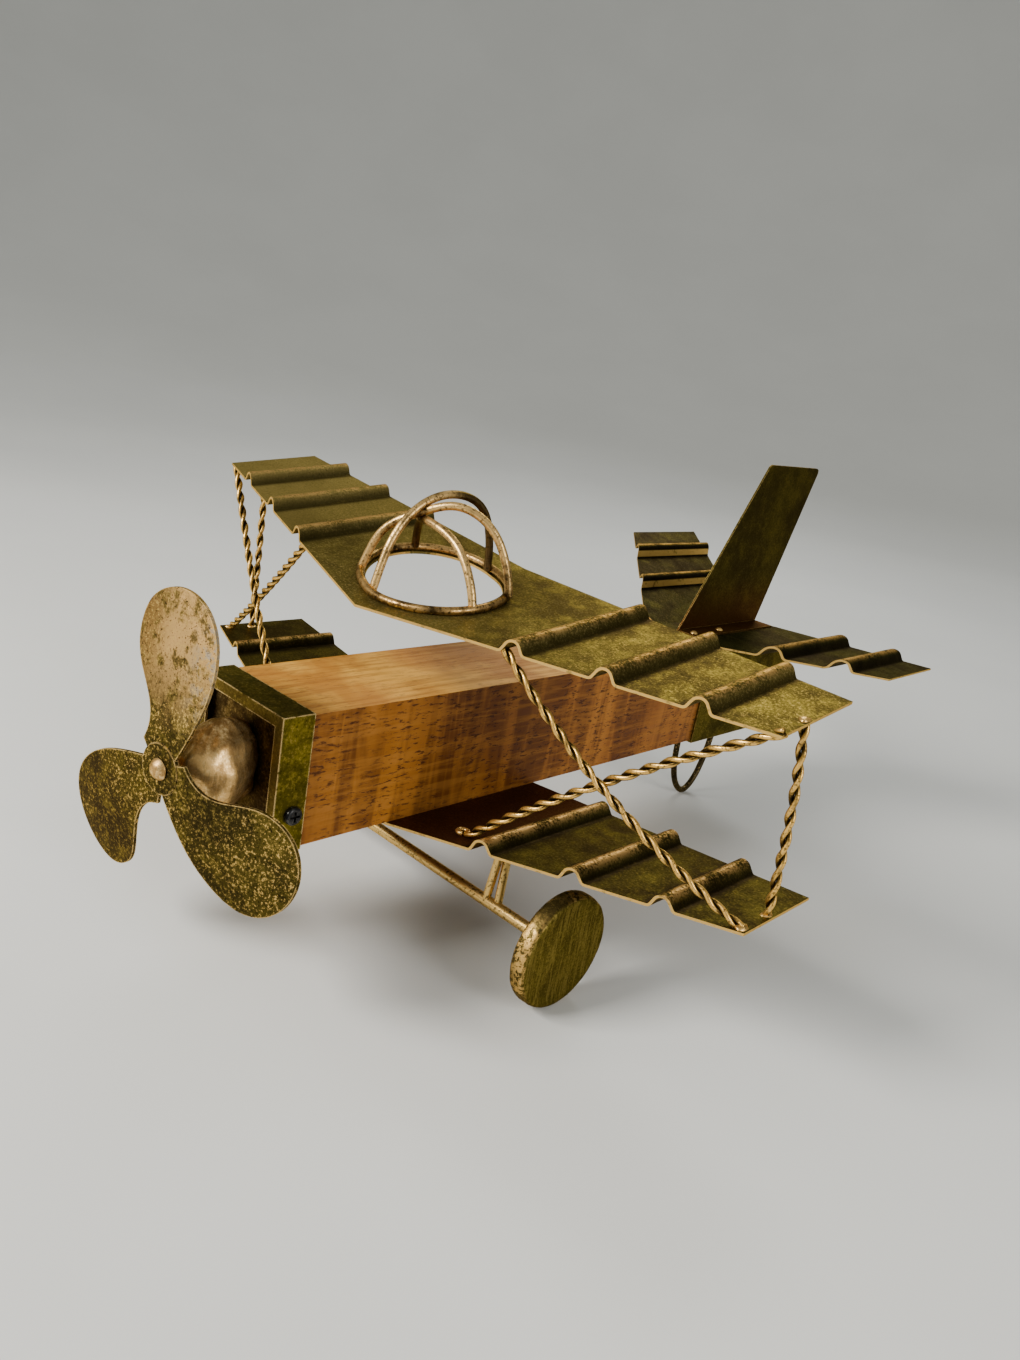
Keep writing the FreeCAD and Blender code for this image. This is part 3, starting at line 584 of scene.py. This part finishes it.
def joined(parts):
    verts, faces = [], []
    for part_verts, part_faces in parts:
        offset = len(verts)
        verts += part_verts
        faces += [tuple(i + offset for i in face) for face in part_faces]
    return verts, faces


# ---------------------------------------------------------------- twisted-wire struts
TWIST_PITCH = 15.5 * MM
STRAND_RADIUS = 0.92 * MM
STRAND_STEP = 0.55 * MM
OVERRUN = 0.6 * MM
END_DEPTH = 4.0 * MM
UPPER_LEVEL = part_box("fuselage_block")[1].z

# Painted shade in the groove between the two strands: it starts at this share of the pair's radius,
# is full at the next one, and the third number says how dark it gets.
STRAND_SHADE_STARTS, STRAND_SHADE_FULL, STRAND_SHADE_DARK = 0.80, 0.62, 0.92

WELD_RADIUS = 2.3 * MM
WELD_SHAPE = (0.9, 1.2, 0.6)
WELD_RINGS, WELD_SIDES = 11, 16
EYE_RADIUS = 2.1 * MM
EYE_TURN = 0.85
EYE_RISE = 0.5 * MM
EYE_LIFT = 0.6 * MM
EYE_STEPS = 28


def node_axis_ends(node):
    """Middle points of the two ends of a rod-like CAD node."""
    points = [v.co.copy() for v in NODES[node].data.vertices]
    centre = sum(points, Vector()) / len(points)
    far = max(points, key=lambda p: (p - centre).length)
    other = max(points, key=lambda p: (p - far).length)
    axis = (other - far).normalized()
    spans = [(p - centre).dot(axis) for p in points]
    ends = []
    for edge in (min(spans), max(spans)):
        near = [p for p, s in zip(points, spans) if abs(s - edge) < END_DEPTH]
        ends.append(sum(near, Vector()) / len(near))
    return ends


def arch(share):
    """0 at both ends of a rod and 1 at its middle."""
    return 4 * share * (1 - share)


def bow_of(node, start, end):
    """How far the middle of a gently bowed CAD rod stands off the line between its ends."""
    axis = (end - start).normalized()
    reach = (end - start).length
    bow, weight = Vector(), 0.0
    for vertex in NODES[node].data.vertices:
        along = (vertex.co - start).dot(axis)
        height = arch(along / reach)
        bow += (vertex.co - start - axis * along) * height
        weight += height * height
    return bow / weight


def twisted_strut(node, phase):
    """Two wires wound round each other along a CAD rod. Returns the two ends."""
    start, end = node_axis_ends(node)
    bow = bow_of(node, start, end)
    axis = (end - start).normalized()
    start, end = start - axis * OVERRUN, end + axis * OVERRUN
    length = (end - start).length
    u = axis.orthogonal().normalized()
    v = axis.cross(u)

    def middle_at(share):
        return start + axis * (length * share) + bow * arch(share)

    steps = int(length / STRAND_STEP)
    strands = []
    for strand in (0, 1):
        path = []
        for i in range(steps + 1):
            share = i / steps
            wobble = 0.5 * noise.noise(Vector((share * 6, phase, 0.3)))
            turn = math.tau * (length * share / TWIST_PITCH) + phase + wobble + math.pi * strand
            spread = STRAND_RADIUS * (1 + 0.06 * noise.noise(Vector((share * 9, phase, strand))))
            path.append(middle_at(share) + (u * math.cos(turn) + v * math.sin(turn)) * spread)
        strands.append(tube(path, STRAND_RADIUS))
    piece = make_piece(node + "_wires", *joined(strands), strand_wire, "gold_wire",
                       replaces=(node,))

    # Painted shade: how deep each point lies in the groove between the strands.
    painted_strand_shade = piece.data.attributes.new("painted_strand_shade", "FLOAT", "POINT")
    for vertex, item in zip(piece.data.vertices, painted_strand_shade.data):
        share = min(max((vertex.co - start).dot(axis) / length, 0.0), 1.0)
        reach = (vertex.co - middle_at(share)).length / (2 * STRAND_RADIUS)
        depth = (STRAND_SHADE_STARTS - reach) / (STRAND_SHADE_STARTS - STRAND_SHADE_FULL)
        item.value = STRAND_SHADE_DARK * min(max(depth, 0.0), 1.0)
    return start, end


def weld_bead(centre, seed):
    """A lumpy, flattened ball of weld metal."""
    verts = []
    for _, _, d in sphere_angles(WELD_RINGS, WELD_SIDES):
        lump = 1 + 0.22 * noise.noise(d * 1.7 + Vector((seed, seed * 0.7, 3.1)))
        lump += 0.08 * noise.noise(d * 5.0 + Vector((seed, 1.3, seed)))
        flat = Vector([part * share for part, share in zip(d, WELD_SHAPE)])
        verts.append(centre + flat * WELD_RADIUS * lump)
    return verts, ring_faces(WELD_RINGS, WELD_SIDES, flip=True)


def wire_eye(centre):
    """The wire's end curled into a small eye lying on the sheet."""
    path = []
    for i in range(EYE_STEPS + 1):
        a = math.tau * EYE_TURN * i / EYE_STEPS
        path.append(centre + Vector((EYE_RADIUS * math.cos(a), EYE_RADIUS * math.sin(a),
                                     EYE_RISE * i / EYE_STEPS)))
    return tube(path, STRAND_RADIUS)


STRUTS = sorted(n for n in NODES if n.endswith(("front_diagonal", "cross_diagonal", "tip_strut")))

welds = []
for index, node in enumerate(STRUTS, start=1):
    for j, point in enumerate(twisted_strut(node, index * 1.1)):
        # Of the upper ends, only the one of the port tip strut shows a bead.
        if point.z > UPPER_LEVEL and node != "port_tip_strut":
            continue
        if "cross" in node:
            inward = -1 if point.x > 0 else 1
            welds.append(wire_eye(point + Vector((inward * EYE_RADIUS, 0, EYE_LIFT))))
        else:
            welds.append(weld_bead(point, seed=index * 2.3 + j))
make_piece("strut_weld_beads", *joined(welds), weld_metal, "gold_wire")


# ---------------------------------------------------------------- nose dome
# Shares of the CAD dome's box: the three radii, and how far the centre is ahead of the back.
DOME_RADII = (0.40, 0.60, 0.49)
DOME_FORWARD = 0.38
DOME_RINGS, DOME_SIDES = 41, 72


def hammered_dome():
    """An egg-shaped cap with soft dents and upright creases, flat at the back plate."""
    low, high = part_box("nose_dome")
    span = high - low
    centre = Vector(((low.x + high.x) / 2, high.y - DOME_FORWARD * span.y, (low.z + high.z) / 2))
    radii = [share * part for share, part in zip(DOME_RADII, span)]
    verts = []
    for tilt, turn, d in sphere_angles(DOME_RINGS, DOME_SIDES):
        dents = 0.95 + 0.12 * noise.noise(d * 1.8 + Vector((4.1, 0.4, 2.0)))
        creases = noise.noise(Vector((math.cos(turn) * 4, math.sin(turn) * 4, d.z * 0.9)))
        size = min(dents + 0.05 * math.sin(tilt) * creases, 1.0)
        shoulder = 1.0 - 0.20 * max(0.0, d.z)
        point = centre + Vector((d.x * radii[0] * shoulder, d.y * radii[1], d.z * radii[2])) * size
        point.y = min(point.y, high.y)
        verts.append(point)
    make_piece("hammered_dome", verts, ring_faces(DOME_RINGS, DOME_SIDES, flip=True), bronze,
               "pale_bronze", replaces=("nose_dome",))


hammered_dome()


# ---------------------------------------------------------------- wheels
WHEEL_WALL = 1.2 * MM
WHEEL_SIDES = 120
WHEEL_DENT = 0.35 * MM


def wheel_profile(width, radius):
    """Depth from the outer face and distance from the axle, from inside the shell to the face."""
    wall = WHEEL_WALL
    return [
        (wall, 0.0), (wall, radius - wall * 1.3), (width * 0.5, radius - wall),
        (width, radius - wall), (width, radius - wall * 0.4), (width * 0.9, radius - wall * 0.1),
        (width * 0.72, radius), (width * 0.5, radius), (width * 0.3, radius - wall * 0.05),
        (width * 0.14, radius - wall * 0.3), (width * 0.04, radius - wall * 0.8),
        (0.0, radius - wall * 1.6), (0.35 * MM, radius - wall * 3.0),
        (0.55 * MM, radius * 0.7), (0.35 * MM, radius * 0.35), (0.25 * MM, 0.0)]


def rolled_wheel(word, side):
    """A pressed wheel with a rounded, slightly uneven rim. side is 1 for port, -1 for starboard."""
    node = word + "_wheel_shell"
    low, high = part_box(node)
    hub = (low + high) / 2
    outer = high.x if side > 0 else low.x
    profile = wheel_profile(high.x - low.x, (high.z - low.z) / 2)
    verts = []
    for depth, reach in profile:
        for a in turns(WHEEL_SIDES):
            lumps = noise.noise(Vector((math.cos(a) * 3, math.sin(a) * 3, depth * 400 + side)))
            size = max(reach - abs(WHEEL_DENT * lumps), 0.05 * MM)
            verts.append(Vector((outer - side * depth, hub.y + size * math.cos(a),
                                 hub.z + size * math.sin(a))))
    faces = ring_faces(len(profile), WHEEL_SIDES)
    if side > 0:
        faces = [face[::-1] for face in faces]
    make_piece(word + "_rolled_wheel", verts, faces, wheel_metal, "wheel_gold",
               body=word + "_wheel", replaces=(node,))


rolled_wheel("port", 1)
rolled_wheel("starboard", -1)


# ---------------------------------------------------------------- camera
# Matched to the photograph: place from the block's lower front edge, direction and right side.
CAMERA_FROM_BLOCK = Vector((0.28537, -0.19453, 0.17816))
VIEW = Vector((-0.62505508, 0.71890183, -0.30411561))
RIGHT = Vector((0.70720946, 0.68646144, 0.16919064))
SENSOR = 36.0
FOCAL_OVER_HEIGHT = 0.75220588

block_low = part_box("fuselage_block")[0]
camera_at = Vector((0, block_low.y, block_low.z)) + CAMERA_FROM_BLOCK
camera_data = bpy.data.cameras.new("camera")
camera_data.sensor_width = SENSOR
camera_data.lens = SENSOR * FOCAL_OVER_HEIGHT
camera_data.clip_start = 0.01
camera_data.clip_end = 60.0
camera = bpy.data.objects.new("camera", camera_data)
up = RIGHT.cross(VIEW).normalized()
camera.matrix_world = Matrix((
    (RIGHT.x, up.x, -VIEW.x, camera_at.x),
    (RIGHT.y, up.y, -VIEW.y, camera_at.y),
    (RIGHT.z, up.z, -VIEW.z, camera_at.z),
    (0, 0, 0, 1)))
bpy.context.scene.collection.objects.link(camera)
bpy.context.scene.camera = camera


# ---------------------------------------------------------------- floor
FLOOR_GAP = 0.2 * MM
FLAT_FLOOR = 1.1
BOWL_RADIUS = 2.6
BOWL_STEPS = 12
FLOOR_SIDES = 96
PAPER_DARK, PAPER_LIGHT = (0.70, 0.70, 0.67), (0.73, 0.73, 0.70)


def paper_floor():
    """A flat round floor that curves up into a bowl, so that every view ends on paper."""
    floor_z = cad_box[0].z - FLOOR_GAP
    rings = [(FLAT_FLOOR, 0.0)]
    for i in range(1, BOWL_STEPS + 1):
        angle = math.radians(90 * i / BOWL_STEPS)
        rings.append((FLAT_FLOOR + BOWL_RADIUS * math.sin(angle),
                      BOWL_RADIUS * (1 - math.cos(angle))))
    verts = [(radius * math.cos(a), radius * math.sin(a), floor_z + height)
             for radius, height in rings for a in turns(FLOOR_SIDES)]
    faces = [tuple(range(FLOOR_SIDES))] + ring_faces(len(rings), FLOOR_SIDES, flip=True)
    mesh = bpy.data.meshes.new("floor")
    mesh.from_pydata(verts, [], faces)
    for polygon in mesh.polygons:
        polygon.use_smooth = True
    floor = bpy.data.objects.new("floor", mesh)
    bpy.context.scene.collection.objects.link(floor)

    t = Tree("floor_paper")
    t.set("Base Color", t.mix(t.step(t.noise(3.0), 0.3, 0.7), PAPER_DARK, PAPER_LIGHT))
    t.set("Roughness", 0.85)
    t.set("Specular IOR Level", 0.1)
    mesh.materials.append(t.mat)


paper_floor()


# ---------------------------------------------------------------- light
world = bpy.data.worlds.new("studio")
bpy.context.scene.world = world
world.use_nodes = True
background = world.node_tree.nodes["Background"]
background.inputs["Color"].default_value = (0.80, 0.82, 0.80, 1)
background.inputs["Strength"].default_value = 0.5

MIDDLE = (cad_box[0] + cad_box[1]) / 2


def soft_light(name, offset, size, power, colour):
    """An area light, offset in metres from the middle of the object and turned to face it."""
    data = bpy.data.lights.new(name, "AREA")
    data.shape = "RECTANGLE"
    data.size, data.size_y = size
    data.energy = power
    data.color = colour
    lamp = bpy.data.objects.new(name, data)
    lamp.location = MIDDLE + Vector(offset)
    lamp.rotation_mode = "QUATERNION"
    lamp.rotation_quaternion = (-Vector(offset)).to_track_quat("-Z", "Y")
    bpy.context.scene.collection.objects.link(lamp)


soft_light("key", offset=(-0.35, -1.0, 0.62), size=(0.5, 0.35), power=21.0,
           colour=(1.0, 0.97, 0.92))
soft_light("side", offset=(1.10, -0.10, 0.40), size=(0.35, 0.6), power=6.0,
           colour=(1.0, 0.98, 0.95))
soft_light("back", offset=(-0.5, 0.95, 0.80), size=(0.5, 0.3), power=5.0,
           colour=(0.97, 0.99, 1.0))
